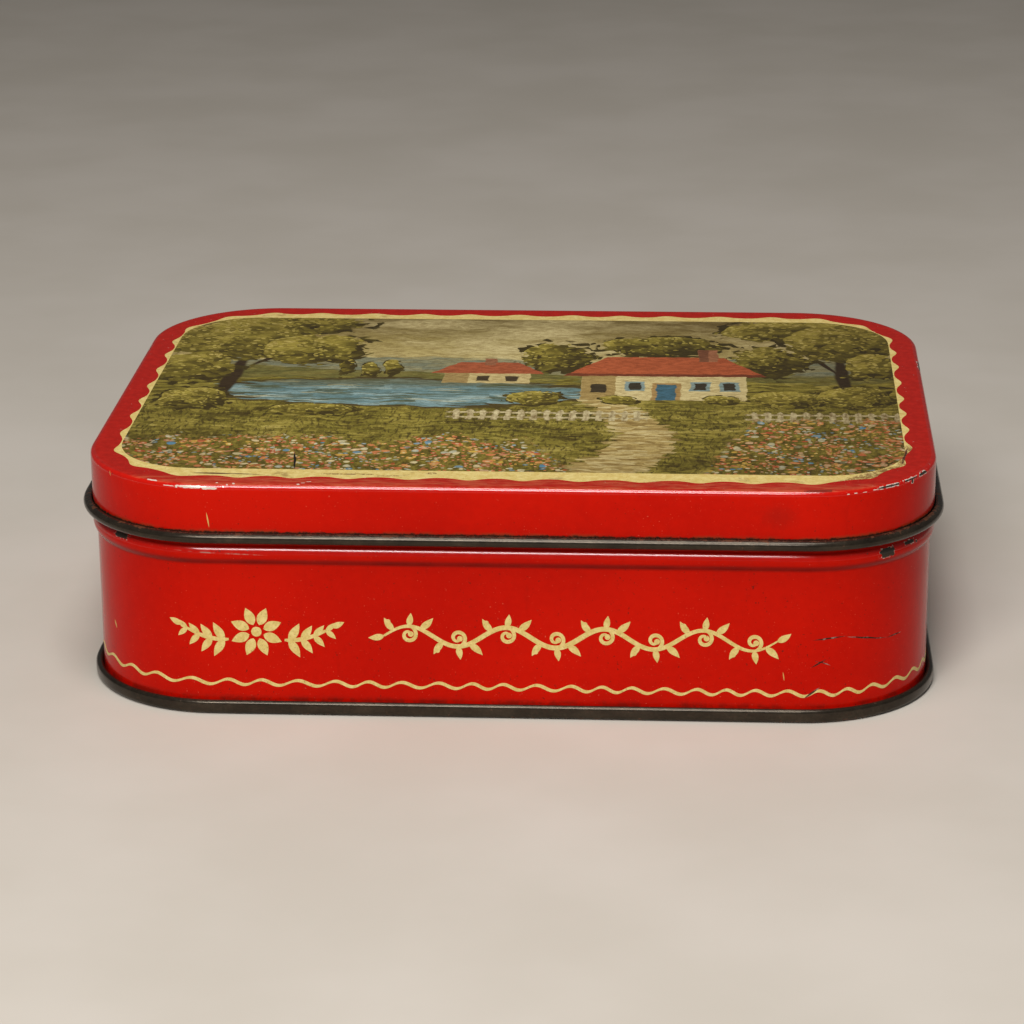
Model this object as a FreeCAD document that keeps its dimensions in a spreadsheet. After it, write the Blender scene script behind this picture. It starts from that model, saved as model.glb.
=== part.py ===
import FreeCAD, Part
import math
import os
import Sketcher

# A shallow rectangular candy tin with round corners: a slip-on lid, a body wall and a base.
# Each piece is one sheet of tinplate. Its folded section is swept round the plan of the tin,
# and a pad closes the flat middle of the lid and of the base.
# X runs along the tin, Z is up, the front faces -Y, and the base rim stands on Z = 0.

doc = FreeCAD.newDocument("CandyTin")

# Driving sizes in millimetres
SIZES = [
    ("sheet", 0.3, "thickness of the tinplate"),
    ("body_length", 163.5, "outside of the body wall along X"),
    ("body_width", 124.6, "outside of the body wall along Y"),
    ("body_corner", 25.2, "outside corner radius of the body wall in plan"),
    ("body_height", 45.9, "table to the top of the hem at the mouth"),
    ("hem_depth", 4.0, "how far the hem is folded down inside the mouth"),
    ("hem_gap", 0.3, "space left inside the fold of the hem"),
    ("bead_gap", 0.85, "space between the lid curl and the bead below it"),
    ("bead_tall", 3.6, "height of the bead from crease to crease"),
    ("bead_proud", 0.8, "how far the bead stands out of the wall"),
    ("lid_clearance", 0.45, "space between the lid skirt and the body wall"),
    ("lid_rest", 0.3, "space between the hem and the underside of the lid"),
    ("shoulder", 1.0, "outside radius between the lid panel and its skirt"),
    ("skirt_depth", 10.5, "top of the lid to the centre line of its curl"),
    ("curl_wide", 2.1, "outside diameter of the lid curl"),
    ("rim_flat", 6.0, "flat strip swept inside a bend before the pad takes over"),
    ("seam_tall", 2.75, "height of the double seam from the table"),
    ("seam_gap", 0.25, "space between two layers of the double seam"),
    ("seam_foot", 0.6, "flat width of the double seam on the table"),
    ("countersink", 4.2, "table to the underside of the base panel"),
    ("base_bend", 0.9, "inside radius between the base panel and its chuck wall"),
    ("step_inset", 7.0, "flat strip of the base panel outside its step"),
    ("step_run", 1.2, "width of the slope of the step"),
    ("step_rise", 0.6, "height of the step"),
    ("lock_wide", 5.0, "width of the flattened side seam inside the wall"),
    ("lock_thick", 0.6, "how far the side seam stands into the tin"),
    ("crease_wide", 0.4, "width of the crease of the side seam outside the wall"),
    ("crease_deep", 0.12, "depth of the crease of the side seam"),
    ("overrun", 0.2, "how far a cut starts outside the face that it cuts"),
]

# Straight sides that stand for the small bends, and the turn of the curl in degrees
CURL_TURN = 300
CURL_SIDES = 10
CURL_INNER_SIDES = 5
SHOULDER_SIDES = 5
BEAD_SIDES = 6
BEAD_INNER_SIDES = 3
FOLD_SIDES = 4
FOLD_INNER_SIDES = 2
CORNER_SIDES = 2

sizes = doc.addObject("Spreadsheet::Sheet", "Sizes")
for row, (alias, value, meaning) in enumerate(SIZES, start=1):
    sizes.set(f"A{row}", meaning)
    sizes.set(f"B{row}", str(value))
    sizes.setAlias(f"B{row}", alias)
doc.recompute()


def given(alias):
    """Expression text of one driving size."""
    return f"Sizes.{alias}"


def measure(text):
    """The number an expression stands for now, to draw a sketch close to its final place."""
    return float(sizes.evalExpression(text))


# Expressions shared by the pieces that fit each other
SHEET = given("sheet")
WALL_OUT = f"({given('body_length')} / 2)"
WALL_IN = f"({WALL_OUT} - {SHEET})"
BACK_OUT = f"({given('body_width')} / 2)"
BACK_IN = f"({BACK_OUT} - {SHEET})"
LID_IN = f"({WALL_OUT} + {given('lid_clearance')})"
LID_OUT = f"({LID_IN} + {SHEET})"
LID_UNDER = f"({given('body_height')} + {given('lid_rest')})"
LID_TOP = f"({LID_UNDER} + {SHEET})"
BASE_TOP = f"({given('countersink')} + {SHEET})"

# The layers of the double seam, from the body hook outward
HOOK_BEND_IN = f"({SHEET} / 2 + {given('seam_gap')})"
HOOK_BEND_OUT = f"({HOOK_BEND_IN} + {SHEET})"
HOOK_X = f"({WALL_OUT} + {HOOK_BEND_IN})"
SEAM_HALF = f"({HOOK_BEND_OUT} + {given('seam_gap')} + {SHEET})"
SEAM_Z = SEAM_HALF
FOLD_X = f"({WALL_OUT} + {given('seam_gap')} + {HOOK_BEND_OUT})"
FOLD_Z = f"({given('seam_tall')} - {HOOK_BEND_OUT})"


def start_body(label):
    """A body with a label of its own, and its origin planes by role."""
    body = doc.addObject("PartDesign::Body", label)
    body.Label = label
    planes = {feature.Role: feature for feature in body.Origin.OriginFeatures}
    return body, planes


def start_sketch(body, plane, name, height=None):
    """A sketch on an origin plane of the body, raised by an expression if one is given."""
    sketch = body.newObject("Sketcher::SketchObject", name)
    sketch.AttachmentSupport = (plane, [""])
    sketch.MapMode = "FlatFace"
    if height:
        sketch.setExpression(".AttachmentOffset.Base.z", height)
    return sketch


def pin(sketch, geometry, point, direction, text):
    """Hold one coordinate of a point at an expression measured from the sketch origin."""
    kind, axis = ("DistanceX", -2) if direction == "u" else ("DistanceY", -1)
    value = measure(text)
    if math.isclose(value, 0, abs_tol=1e-9):
        sketch.addConstraint(Sketcher.Constraint("PointOnObject", geometry, point, axis))
        return
    held = sketch.addConstraint(Sketcher.Constraint(kind, -1, 1, geometry, point, value))
    sketch.setExpression(f"Constraints[{held}]", text)


def draw_arc(sketch, start, end, centre, turn):
    """An arc between two points, and which of its ends comes first and last along the chain."""
    first, last = (start, end) if turn == "left" else (end, start)
    angle_from = math.atan2(first.y - centre.y, first.x - centre.x)
    angle_to = math.atan2(last.y - centre.y, last.x - centre.x)
    circle = Part.Circle(centre, FreeCAD.Vector(0, 0, 1), centre.distanceToPoint(first))
    edge = sketch.addGeometry(Part.ArcOfCircle(circle, angle_from, angle_to), False)
    return (edge, 1, 2) if turn == "left" else (edge, 2, 1)


def draw_outline(sketch, steps):
    """A closed chain of lines and arcs whose corners are all held by expressions.

    A step is (u, v) for a straight edge to that corner, or (u, v, centre u, centre v, turn)
    for an arc to it, where turn is "left" for anticlockwise and "right" for clockwise.
    The first step starts from the corner where the last one ends.
    """
    places = [FreeCAD.Vector(measure(step[0]), measure(step[1]), 0) for step in steps]
    edges = []
    for index, step in enumerate(steps):
        start, end = places[index - 1], places[index]
        if len(step) == 2:
            edges.append((sketch.addGeometry(Part.LineSegment(start, end), False), 1, 2))
        else:
            centre = FreeCAD.Vector(measure(step[2]), measure(step[3]), 0)
            edges.append(draw_arc(sketch, start, end, centre, step[4]))
    for index, step in enumerate(steps):
        edge, _, tail = edges[index]
        after, head, _ = edges[(index + 1) % len(edges)]
        sketch.addConstraint(Sketcher.Constraint("Coincident", edge, tail, after, head))
        pin(sketch, edge, tail, "u", step[0])
        pin(sketch, edge, tail, "v", step[1])
        if len(step) == 5:
            chord = places[index] - places[index - 1]
            if abs(chord.x) > abs(chord.y):
                pin(sketch, edge, 3, "v", step[3])
            else:
                pin(sketch, edge, 3, "u", step[2])


def rim_end(u, under, top):
    """Steps down the inner end of a swept sheet, where the pad of the panel meets it."""
    return [(u, top), (u, under)]


def rectangle(left, right, near, far):
    """Steps of a plain rectangle."""
    return [(right, near), (right, far), (left, far), (left, near)]


def plan_outline(outward):
    """Steps of the rounded rectangle that lies outside the body wall by an expression."""
    u = f"({WALL_OUT} + {outward})"
    v = f"({BACK_OUT} + {outward})"
    corner_u = f"({WALL_OUT} - {given('body_corner')})"
    corner_v = f"({BACK_OUT} - {given('body_corner')})"
    return [
        (u, corner_v),
        (corner_u, v, corner_u, corner_v, "left"),
        (f"-{corner_u}", v),
        (f"-{u}", corner_v, f"-{corner_u}", corner_v, "left"),
        (f"-{u}", f"-{corner_v}"),
        (f"-{corner_u}", f"-{v}", f"-{corner_u}", f"-{corner_v}", "left"),
        (corner_u, f"-{v}"),
        (u, f"-{corner_v}", corner_u, f"-{corner_v}", "left"),
    ]


def bend(u, v, radius, start, turn, sides):
    """Steps of a bend about (u, v), from a start angle through a turn, in straight sides."""
    steps = []
    for side in range(1, sides + 1):
        angle = math.radians(start + turn * side / sides)
        across_share = round(math.cos(angle), 9)
        up_share = round(math.sin(angle), 9)
        steps.append((f"({u} + {radius} * ({across_share}))", f"({v} + {radius} * ({up_share}))"))
    return steps


def bow(u, v, radius, half, sides):
    """Steps up a bow that bulges along u: its corners lie on a circle about (u, v)."""
    steps = []
    for side in range(1, sides + 1):
        rise_share = 2 * side / sides - 1
        rise = f"({half} * ({rise_share}))"
        steps.append((f"({u} + sqrt({radius} ^ 2 - {rise} ^ 2))", f"({v} + {rise})"))
    return steps


def sweep_section(body, planes, steps):
    """Sweep a folded section, drawn across the right-hand wall, round the plan of the tin."""
    path = start_sketch(body, planes["XY_Plane"], "Plan")
    draw_outline(path, plan_outline("0"))
    section = start_sketch(body, planes["XZ_Plane"], "Section")
    draw_outline(section, steps)
    doc.recompute()
    sweep = body.newObject("PartDesign::AdditivePipe", "FoldedSheet")
    sweep.Profile = section
    sweep.Spine = (path, [])
    doc.recompute()


def pad_outline(body, planes, name, steps, bottom, height):
    """Pad an outline drawn at one height."""
    outline = start_sketch(body, planes["XY_Plane"], f"{name}Outline", bottom)
    draw_outline(outline, steps)
    doc.recompute()
    pad = body.newObject("PartDesign::Pad", name)
    pad.Profile = outline
    pad.setExpression("Length", height)
    doc.recompute()


def cut_outline(body, planes, name, steps, bottom, height):
    """Cut an outline drawn at one height upward out of the body."""
    outline = start_sketch(body, planes["XY_Plane"], f"{name}Outline", bottom)
    draw_outline(outline, steps)
    doc.recompute()
    before = body.Shape.Volume
    cut = body.newObject("PartDesign::Pocket", name)
    cut.Profile = outline
    cut.Reversed = True
    cut.setExpression("Length", height)
    doc.recompute()
    if body.Shape.Volume >= before:
        raise RuntimeError(f"{name} cut nothing")


# Lid: panel, shoulder, skirt and outward curl
LID_BEND_X = f"({LID_OUT} - {given('shoulder')})"
LID_BEND_Z = f"({LID_TOP} - {given('shoulder')})"
LID_BEND_IN = f"({given('shoulder')} - {SHEET})"
LID_FLAT_X = f"({LID_BEND_X} - {given('rim_flat')})"
CURL_OUT = f"({given('curl_wide')} / 2)"
CURL_IN = f"({CURL_OUT} - {SHEET})"
CURL_X = f"({LID_IN} + {CURL_OUT})"
CURL_Z = f"({LID_TOP} - {given('skirt_depth')})"
CURL_END = 180 + CURL_TURN

lid, lid_planes = start_body("lid")
lid_section = [(LID_BEND_X, LID_UNDER)]
lid_section += bend(LID_BEND_X, LID_BEND_Z, LID_BEND_IN, 90, -90, CORNER_SIDES)
lid_section += [(LID_IN, CURL_Z)]
lid_section += bend(CURL_X, CURL_Z, CURL_OUT, 180, CURL_TURN, CURL_SIDES)
lid_section += bend(CURL_X, CURL_Z, CURL_IN, CURL_END, 0, 1)
lid_section += bend(CURL_X, CURL_Z, CURL_IN, CURL_END, -CURL_TURN, CURL_INNER_SIDES)
lid_section += [(LID_OUT, LID_BEND_Z)]
lid_section += bend(LID_BEND_X, LID_BEND_Z, given("shoulder"), 0, 90, SHOULDER_SIDES)
lid_section += rim_end(LID_FLAT_X, LID_UNDER, LID_TOP)
sweep_section(lid, lid_planes, lid_section)
pad_outline(lid, lid_planes, "Panel", plan_outline(f"({LID_FLAT_X} - {WALL_OUT})"), LID_UNDER, SHEET)

# Body wall: hook, wall, bead and hem
BEAD_HALF = f"({given('bead_tall')} / 2)"
BEAD_Z = f"({CURL_Z} - {CURL_OUT} - {given('bead_gap')} - {BEAD_HALF})"
BEAD_PROUD = given("bead_proud")
BEAD_LOW = f"({BEAD_Z} - {BEAD_HALF})"
BEAD_HIGH = f"({BEAD_Z} + {BEAD_HALF})"
BEAD_RADIUS = f"(({BEAD_HALF} ^ 2 + {BEAD_PROUD} ^ 2) / (2 * {BEAD_PROUD}))"
BEAD_X = f"({WALL_OUT} + {BEAD_PROUD} - {BEAD_RADIUS})"
BEAD_RADIUS_IN = f"({BEAD_RADIUS} - {SHEET})"
BEAD_HALF_IN = f"sqrt(2 * {BEAD_RADIUS_IN} * {BEAD_PROUD} - {BEAD_PROUD} ^ 2)"
BEAD_LOW_IN = f"({BEAD_Z} - {BEAD_HALF_IN})"
BEAD_HIGH_IN = f"({BEAD_Z} + {BEAD_HALF_IN})"
HEM_BEND_IN = f"({given('hem_gap')} / 2)"
HEM_BEND_OUT = f"({HEM_BEND_IN} + {SHEET})"
HEM_X = f"({WALL_IN} - {HEM_BEND_IN})"
HEM_Z = f"({given('body_height')} - {HEM_BEND_OUT})"
HEM_LEAF_OUT = f"({WALL_IN} - {given('hem_gap')})"
HEM_LEAF_IN = f"({HEM_LEAF_OUT} - {SHEET})"
HEM_END = f"({given('body_height')} - {given('hem_depth')})"
HOOK_IN = f"({HOOK_X} + {HOOK_BEND_IN})"
HOOK_OUT = f"({HOOK_X} + {HOOK_BEND_OUT})"

body_wall, wall_planes = start_body("body_wall")
wall_section = [(WALL_OUT, BEAD_LOW)]
wall_section += bow(BEAD_X, BEAD_Z, BEAD_RADIUS, BEAD_HALF, BEAD_SIDES)
wall_section += [(WALL_OUT, HEM_Z)]
wall_section += bend(HEM_X, HEM_Z, HEM_BEND_OUT, 0, 180, FOLD_SIDES)
wall_section += [
    (HEM_LEAF_IN, HEM_END),
    (HEM_LEAF_OUT, HEM_END),
    (HEM_LEAF_OUT, HEM_Z),
]
wall_section += bend(HEM_X, HEM_Z, HEM_BEND_IN, 180, -180, FOLD_INNER_SIDES)
wall_section += [(WALL_IN, BEAD_HIGH_IN)]
wall_section += bow(BEAD_X, BEAD_Z, BEAD_RADIUS_IN, f"-{BEAD_HALF_IN}", BEAD_INNER_SIDES)
wall_section += [(WALL_IN, SEAM_Z)]
wall_section += bend(HOOK_X, SEAM_Z, HOOK_BEND_OUT, 180, 180, FOLD_SIDES)
wall_section += [
    (HOOK_OUT, FOLD_Z),
    (HOOK_IN, FOLD_Z),
    (HOOK_IN, SEAM_Z),
]
wall_section += bend(HOOK_X, SEAM_Z, HOOK_BEND_IN, 0, -180, FOLD_INNER_SIDES)
sweep_section(body_wall, wall_planes, wall_section)

# Side seam of the body wall: a flattened band inside and a crease outside, broken by the bead
LOCK_RIGHT = f"({given('lock_wide')} / 2)"
LOCK_LOW = f"({BASE_TOP} + {given('step_rise')})"
LOCK_BAND = rectangle(f"-{LOCK_RIGHT}", LOCK_RIGHT,
                      f"({BACK_IN} - {given('lock_thick')})", f"({BACK_IN} + {SHEET} / 2)")
LOCK_CREASE = rectangle(f"({LOCK_RIGHT} - {given('crease_wide')})", LOCK_RIGHT,
                        f"({BACK_OUT} - {given('crease_deep')})", f"({BACK_OUT} + {given('overrun')})")
pad_outline(body_wall, wall_planes, "LockLow", LOCK_BAND, LOCK_LOW, f"({BEAD_LOW_IN} - {LOCK_LOW})")
pad_outline(body_wall, wall_planes, "LockHigh", LOCK_BAND, BEAD_HIGH_IN,
            f"({HEM_END} - {SHEET} - {BEAD_HIGH_IN})")
cut_outline(body_wall, wall_planes, "CreaseLow", LOCK_CREASE, given("seam_tall"),
            f"({BEAD_LOW} - {given('seam_tall')})")
cut_outline(body_wall, wall_planes, "CreaseHigh", LOCK_CREASE, BEAD_HIGH, f"({HEM_Z} - {BEAD_HIGH})")

# Base: panel with a step, chuck wall, foot and the cover hook of the double seam
CHUCK_OUT = f"({WALL_IN} - {given('seam_gap')})"
CHUCK_IN = f"({CHUCK_OUT} - {SHEET})"
BASE_BEND_IN = given("base_bend")
BASE_BEND_OUT = f"({BASE_BEND_IN} + {SHEET})"
BASE_BEND_X = f"({CHUCK_IN} - {BASE_BEND_IN})"
BASE_BEND_Z = f"({given('countersink')} - {BASE_BEND_IN})"
STEP_LOW_X = f"({BASE_BEND_X} - {given('step_inset')})"
STEP_HIGH_X = f"({STEP_LOW_X} - {given('step_run')})"
STEP_UNDER = f"({given('countersink')} + {given('step_rise')})"
STEP_TOP = f"({STEP_UNDER} + {SHEET})"
BASE_FLAT_X = f"({STEP_HIGH_X} - {given('rim_flat')})"
FOOT_BEND_OUT = f"({SEAM_HALF} - {given('seam_foot')} / 2)"
FOOT_BEND_IN = f"({FOOT_BEND_OUT} - {SHEET})"
FOOT_LEFT_X = f"({HOOK_X} - {given('seam_foot')} / 2)"
FOOT_RIGHT_X = f"({HOOK_X} + {given('seam_foot')} / 2)"
SEAM_FACE_OUT = f"({HOOK_X} + {SEAM_HALF})"
SEAM_FACE_IN = f"({SEAM_FACE_OUT} - {SHEET})"
COVER_OUT = f"({WALL_OUT} + {given('seam_gap')})"
COVER_IN = f"({COVER_OUT} + {SHEET})"

base, base_planes = start_body("base")
base_section = [
    (STEP_HIGH_X, STEP_UNDER),
    (STEP_LOW_X, given("countersink")),
    (BASE_BEND_X, given("countersink")),
]
base_section += bend(BASE_BEND_X, BASE_BEND_Z, BASE_BEND_IN, 90, -90, CORNER_SIDES)
base_section += [(CHUCK_IN, FOOT_BEND_OUT)]
base_section += bend(FOOT_LEFT_X, FOOT_BEND_OUT, FOOT_BEND_OUT, 180, 90, CORNER_SIDES)
base_section += [(FOOT_RIGHT_X, "0")]
base_section += bend(FOOT_RIGHT_X, FOOT_BEND_OUT, FOOT_BEND_OUT, 270, 90, CORNER_SIDES)
base_section += [(SEAM_FACE_OUT, FOLD_Z)]
base_section += bend(FOLD_X, FOLD_Z, HOOK_BEND_OUT, 0, 180, FOLD_SIDES)
base_section += [
    (COVER_OUT, SEAM_Z),
    (COVER_IN, SEAM_Z),
    (COVER_IN, FOLD_Z),
]
base_section += bend(FOLD_X, FOLD_Z, HOOK_BEND_IN, 180, -180, FOLD_INNER_SIDES)
base_section += [(SEAM_FACE_IN, FOOT_BEND_OUT)]
base_section += bend(FOOT_RIGHT_X, FOOT_BEND_OUT, FOOT_BEND_IN, 0, -90, 1)
base_section += [(FOOT_LEFT_X, SHEET)]
base_section += bend(FOOT_LEFT_X, FOOT_BEND_OUT, FOOT_BEND_IN, 270, -90, 1)
base_section += [(CHUCK_OUT, BASE_BEND_Z)]
base_section += bend(BASE_BEND_X, BASE_BEND_Z, BASE_BEND_OUT, 0, 90, CORNER_SIDES)
base_section += [
    (STEP_LOW_X, BASE_TOP),
    (STEP_HIGH_X, STEP_TOP),
]
base_section += rim_end(BASE_FLAT_X, STEP_UNDER, STEP_TOP)
sweep_section(base, base_planes, base_section)
pad_outline(base, base_planes, "Panel", plan_outline(f"({BASE_FLAT_X} - {WALL_OUT})"), STEP_UNDER, SHEET)

for thing in doc.Objects:
    if {"Invalid", "Error"} & set(thing.State):
        raise RuntimeError(f"{thing.Label} did not build: {thing.State}")
os.makedirs("parts", exist_ok=True)
for piece in (lid, body_wall, base):
    if piece.Shape.isNull() or not piece.Shape.isValid() or len(piece.Shape.Solids) != 1:
        raise RuntimeError(f"{piece.Label} is not one valid solid")
    box = piece.Shape.optimalBoundingBox(False, False)
    spans = [round(span, 2) for span in (box.XLength, box.YLength, box.ZMin, box.ZMax)]
    print(piece.Label, round(piece.Shape.Volume), spans)
    piece.Shape.exportStep(f"parts/{piece.Label}.step")
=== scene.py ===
import functools
import math

import bmesh
import bpy
import numpy as np
from mathutils import Matrix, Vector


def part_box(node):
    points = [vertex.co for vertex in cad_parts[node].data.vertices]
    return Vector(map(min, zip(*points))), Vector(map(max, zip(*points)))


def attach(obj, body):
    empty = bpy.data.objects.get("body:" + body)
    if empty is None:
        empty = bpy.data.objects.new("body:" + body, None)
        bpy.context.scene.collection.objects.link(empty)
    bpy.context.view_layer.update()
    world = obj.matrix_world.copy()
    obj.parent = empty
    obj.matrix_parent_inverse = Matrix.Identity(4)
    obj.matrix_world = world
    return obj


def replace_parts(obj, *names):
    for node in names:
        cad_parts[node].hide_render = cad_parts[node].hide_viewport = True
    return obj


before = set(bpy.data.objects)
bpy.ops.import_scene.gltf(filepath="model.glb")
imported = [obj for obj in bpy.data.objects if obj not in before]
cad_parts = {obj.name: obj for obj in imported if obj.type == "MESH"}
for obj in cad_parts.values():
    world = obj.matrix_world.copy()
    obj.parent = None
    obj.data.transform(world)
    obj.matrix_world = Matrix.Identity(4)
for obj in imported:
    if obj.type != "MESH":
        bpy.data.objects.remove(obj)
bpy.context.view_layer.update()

MM = 0.001

# Sizes in millimetres: the sheet's folds are those of the part's source
LID_BOX, WALL_BOX, BASE_BOX = (np.array(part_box(node)) / MM for node in ("lid", "body_wall", "base"))
SHEET = 0.3
SEAM_PROUD = 1.65
WALL_X, WALL_Y = BASE_BOX[1][:2] - SEAM_PROUD
CORNER = 25.2
LID_TOP, WALL_TOP = LID_BOX[1][2], WALL_BOX[1][2]
LID_IN = 0.45
LID_OUT = LID_IN + SHEET
SHOULDER = 1.0
SHOULDER_Z = LID_TOP - SHOULDER
CURL_OUT = (LID_BOX[1][0] - WALL_X - LID_IN) / 2
CURL_MID = (LID_IN + CURL_OUT, LID_BOX[0][2] + CURL_OUT)
CURL_END = 480
PANEL_DROP, PANEL_EDGE, PANEL_LIP = 0.06, 3.4, 1.2
PANEL_OUT, PANEL_Z = LID_OUT - PANEL_EDGE - SHOULDER, LID_TOP - PANEL_DROP
DIP = 0.12
HEM_OUT = 0.45
HEM_LEAF = 4.0
BEAD_Z, BEAD_PROUD, BEAD_HALF, BEAD_CREASE = 32.3, 0.8, 1.8, 0.3
BEAD_ROWS, RUB_TOP, RUB_END = 25, 3, 11
HOOK_MID, HOOK_TOP = (0.4, 1.25), 2.05
HOOK_RADII = (0.4, 0.7)
FOLD_MID = (0.95, 2.05)
FOOT_IN, FOOT_OUT = (0.1, 0.95), (0.7, 0.95)
FOOT_RADII = (0.65, 0.95)
BASE_BEND_MID = (-1.75, 3.3)
BASE_BEND_RADII = (0.9, 1.2)
STEP_OUT, STEP_IN, STEP_RISE = -8.75, -9.95, 0.6
LOCK_HALF, LOCK_THICK = 2.5, 0.6
LOCK_FOOT_OUT, LOCK_FOOT_IN = FOLD_MID[1] + 0.7, 5.2
CREASE_WIDE, CREASE_DEEP, CREASE_SOFT = 0.4, 0.12, 0.06
ARC_STEP = 15.0
SHARP_ANGLE = 38

# Places of the materials on the faces of the lid and the wall
PRINTED, EDGE, INSIDE, RUBBED = 0, 1, 2, 3

# Print on the sheet
INK = 0.02
LAYER = 0.0005
PICTURE_X, PICTURE_FRONT, PICTURE_BACK, PICTURE_CORNER = 76.5, -53.0, 54.4, 16.3
PICTURE_LIFT, PICTURE_MIDDLE = 1.6 * INK, (PICTURE_BACK + PICTURE_FRONT) / 2
BORDER_OFFSET, BORDER_SWING, BORDER_WAVES, BORDER_START = -4.5, 0.62, 46, -2.1
BORDER_TUCK, BORDER_POINTED = 0.3, 0.16
WAVE_Z, WAVE_SWING, WAVE_COUNT, WAVE_TILT = 5.93, 0.54, 84, 0.55
WAVE_HALF, WAVE_THICKEN, WAVE_CROWD = 0.305, 0.075, 4.1
# Unsteadiness of the drawn lines: how much, how often round the tin
BORDER_DRIFT, WAVE_DRIFT, WAVE_SAG = (0.3, 13), (0.3, 23), (0.07, 7)
BORDER_STEPS, WAVE_STEPS = 16, 18

HALF_LONG, HALF_SIDE = WALL_X - CORNER, WALL_Y - CORNER
QUARTER = math.pi / 2 * CORNER
BREAKS = np.cumsum([0, HALF_LONG, QUARTER, 2 * HALF_SIDE, QUARTER, 2 * HALF_LONG,
                    QUARTER, 2 * HALF_SIDE, QUARTER, HALF_LONG])
ROUND = BREAKS[-1]
TURN = np.radians([-90, -90, 0, 0, 90, 90, 180, 180, 270, 270])
CORE_X = np.array([0, 1, 1, 1, 1, -1, -1, -1, -1, 0])
CORE_Y = np.array([-1, -1, -1, 1, 1, 1, 1, -1, -1, -1])
BACK = ROUND / 2


# Outline of the tin in plan

def outline(station, half_x, half_y, radius, middle_y=0.0):
    """Points and outward normals of a rounded rectangle, matched station by station with the wall's."""
    station = np.mod(station, ROUND)
    turn = np.interp(station, BREAKS, TURN)
    normal = np.stack([np.cos(turn), np.sin(turn)], -1)
    core_x = np.interp(station, BREAKS, CORE_X) * (half_x - radius)
    core_y = np.interp(station, BREAKS, CORE_Y) * (half_y - radius) + middle_y
    return np.stack([core_x, core_y], -1) + normal * radius, normal


def wall_points(station, offset, height):
    """Points on the wall at a station, stood off from its outer face and at a height."""
    flat, normal = outline(station, WALL_X, WALL_Y, CORNER)
    flat = flat + normal * np.broadcast_to(offset, np.shape(station))[..., None]
    return np.concatenate([flat, np.broadcast_to(height, np.shape(station))[..., None]], -1)


def wall_stations():
    """Stations of the mesh columns: close in the corners and at the side seam's crease."""
    spans = [14, 20, 22, 20, 28, 20, 22, 20, 14]
    parts = [np.linspace(a, b, n + 1)[:-1] for a, b, n in zip(BREAKS, BREAKS[1:], spans)]
    edges = np.array([-LOCK_HALF, LOCK_HALF - CREASE_WIDE, LOCK_HALF])
    seam = np.concatenate([edges - CREASE_SOFT, edges + CREASE_SOFT, [0.0]])
    return np.unique(np.round(np.concatenate(parts + [BACK - seam]), 6))


STATIONS = wall_stations()


def panel_dip(points):
    """Slight unevenness of the lid's flat panel, none at its edges."""
    x, y = points[..., 0], points[..., 1]
    edge = np.clip(1 - (x / WALL_X) ** 4, 0, 1) * np.clip(1 - (y / WALL_Y) ** 4, 0, 1)
    return DIP * edge * (0.5 + 0.5 * np.sin(x / 23 + 1.3) * np.cos(y / 17 - 0.4))


# Sections of the folded sheet, as points of offset and height

def arc(middle, radius, start, end):
    """Points of an arc, its start and end in degrees."""
    turns = np.radians(np.linspace(start, end, max(2, round(abs(end - start) / ARC_STEP)) + 1))
    return [(middle[0] + radius * math.cos(t), middle[1] + radius * math.sin(t)) for t in turns]


def run(offset, heights):
    return [(offset, z) for z in heights]


def bead(heights, offset):
    """The wall's rows past the stop bead: a bow of a circle, with a soft crease above and below."""
    radius = (BEAD_HALF ** 2 + BEAD_PROUD ** 2) / (2 * BEAD_PROUD)
    rise = np.array(heights) - BEAD_Z
    bow = np.sqrt(np.maximum(radius ** 2 - rise ** 2, 0)) + BEAD_PROUD - radius
    soft = np.maximum(BEAD_CREASE - np.abs(bow), 0) ** 2 / (4 * BEAD_CREASE)
    return [(offset + reach, z) for reach, z in zip(np.maximum(bow, 0) + soft, heights)]


def rings(offset, height, shares):
    """Rows of a flat panel, drawn in towards its middle."""
    return [(offset, height, share) for share in shares]


def lid_section():
    """Rows of the lid from the middle of its top, round the curl, to the middle of its underside."""
    shares = np.array([0.05, 0.16, 0.28, 0.4, 0.52, 0.63, 0.73, 0.82, 0.9, 0.96, 1.0])
    bend = (LID_OUT - SHOULDER, SHOULDER_Z)
    lip_out, lip_z = bend[0] - PANEL_LIP, LID_TOP - PANEL_DROP / 3
    skirt = np.linspace(SHOULDER_Z, CURL_MID[1], 5)
    printed = rings(PANEL_OUT, PANEL_Z, shares) + [(lip_out, lip_z)]
    shoulder = arc(bend, SHOULDER, 90, 0)
    curl = arc(CURL_MID, CURL_OUT - SHEET, 180, CURL_END) + arc(CURL_MID, CURL_OUT, CURL_END, 180)
    inside = run(LID_IN, skirt[::-1]) + arc(bend, SHOULDER - SHEET, 0, 90)
    inside += [(lip_out, lip_z - SHEET)] + rings(PANEL_OUT, PANEL_Z - SHEET, shares[::-1])
    return [(printed + shoulder[:1], PRINTED), (shoulder[1:], RUBBED), (run(LID_OUT, skirt), PRINTED),
            (curl, EDGE), (inside, INSIDE)]


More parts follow.
